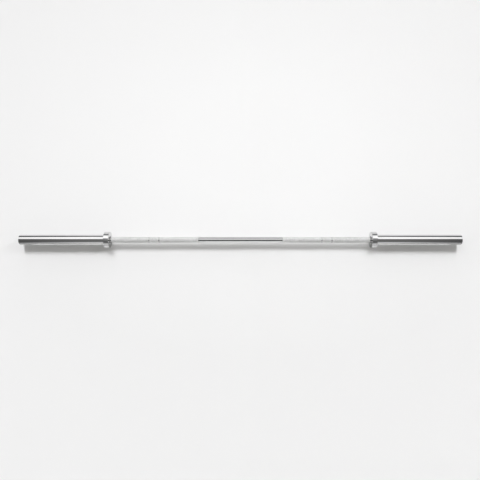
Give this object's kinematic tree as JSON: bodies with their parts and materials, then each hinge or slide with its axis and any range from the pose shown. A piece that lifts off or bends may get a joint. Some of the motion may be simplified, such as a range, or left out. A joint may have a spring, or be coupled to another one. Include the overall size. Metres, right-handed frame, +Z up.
{
  "type": "olympic barbell",
  "caption": "Straight barbell with a knurled shaft, wide collars and free-spinning sleeves on needle bearings, for loading weight plates.",
  "frame": {"origin": "on the bar's axis at mid-length", "axes": "+X along the bar, +Y and +Z across it, +Z up when the bar lies on its collars"},
  "size_m": [2.2, 0.08, 0.08],
  "materials": {
    "satin_chrome": "satin",
    "polished_chrome": "polished",
    "black_rubber": "matte",
    "spring_steel": "satin",
    "bronze": "satin",
    "turned_aluminium": "satin",
    "bearing_steel": "polished",
    "cage_steel": "satin"
  },
  "bodies": {
    "bar": {"shaft": "satin_chrome", "left_inner_thrust_washer": "bronze", "left_outer_thrust_washer": "bronze", "left_shaft_snap_ring": "spring_steel", "right_inner_thrust_washer": "bronze", "right_outer_thrust_washer": "bronze", "right_shaft_snap_ring": "spring_steel"},
    "left_sleeve": {"left_sleeve": "polished_chrome", "left_collar": "polished_chrome", "left_dust_seal": "black_rubber", "left_collar_snap_ring": "spring_steel", "left_end_cap": "turned_aluminium", "left_end_cap_snap_ring": "spring_steel", "left_bearing_cup_1": "bearing_steel", "left_bearing_cup_2": "bearing_steel", "left_bearing_cup_3": "bearing_steel", "left_bearing_cup_4": "bearing_steel"},
    "left_rollers": {"left_bearing_cage_1": "cage_steel", "left_bearing_needles_1": "bearing_steel", "left_bearing_cage_2": "cage_steel", "left_bearing_needles_2": "bearing_steel", "left_bearing_cage_3": "cage_steel", "left_bearing_needles_3": "bearing_steel", "left_bearing_cage_4": "cage_steel", "left_bearing_needles_4": "bearing_steel"},
    "right_sleeve": {"right_sleeve": "polished_chrome", "right_collar": "polished_chrome", "right_dust_seal": "black_rubber", "right_collar_snap_ring": "spring_steel", "right_end_cap": "turned_aluminium", "right_end_cap_snap_ring": "spring_steel", "right_bearing_cup_1": "bearing_steel", "right_bearing_cup_2": "bearing_steel", "right_bearing_cup_3": "bearing_steel", "right_bearing_cup_4": "bearing_steel"},
    "right_rollers": {"right_bearing_cage_1": "cage_steel", "right_bearing_needles_1": "bearing_steel", "right_bearing_cage_2": "cage_steel", "right_bearing_needles_2": "bearing_steel", "right_bearing_cage_3": "cage_steel", "right_bearing_needles_3": "bearing_steel", "right_bearing_cage_4": "cage_steel", "right_bearing_needles_4": "bearing_steel"}
  },
  "joints": [
    {"name": "left_sleeve_spin", "type": "hinge", "parent": "bar", "child": "left_sleeve", "pos_m": [-0.875, 0, 0], "axis": [1, 0, 0], "continuous": true},
    {"name": "left_roller_spin", "type": "hinge", "parent": "bar", "child": "left_rollers", "pos_m": [-0.875, 0, 0], "axis": [1, 0, 0], "continuous": true},
    {"name": "right_sleeve_spin", "type": "hinge", "parent": "bar", "child": "right_sleeve", "pos_m": [0.875, 0, 0], "axis": [1, 0, 0], "continuous": true},
    {"name": "right_roller_spin", "type": "hinge", "parent": "bar", "child": "right_rollers", "pos_m": [0.875, 0, 0], "axis": [1, 0, 0], "continuous": true}
  ],
  "couplings": [
    {"joint": "left_roller_spin", "follows": "left_sleeve_spin", "ratio": 0.54545},
    {"joint": "right_roller_spin", "follows": "right_sleeve_spin", "ratio": 0.54545}
  ]
}
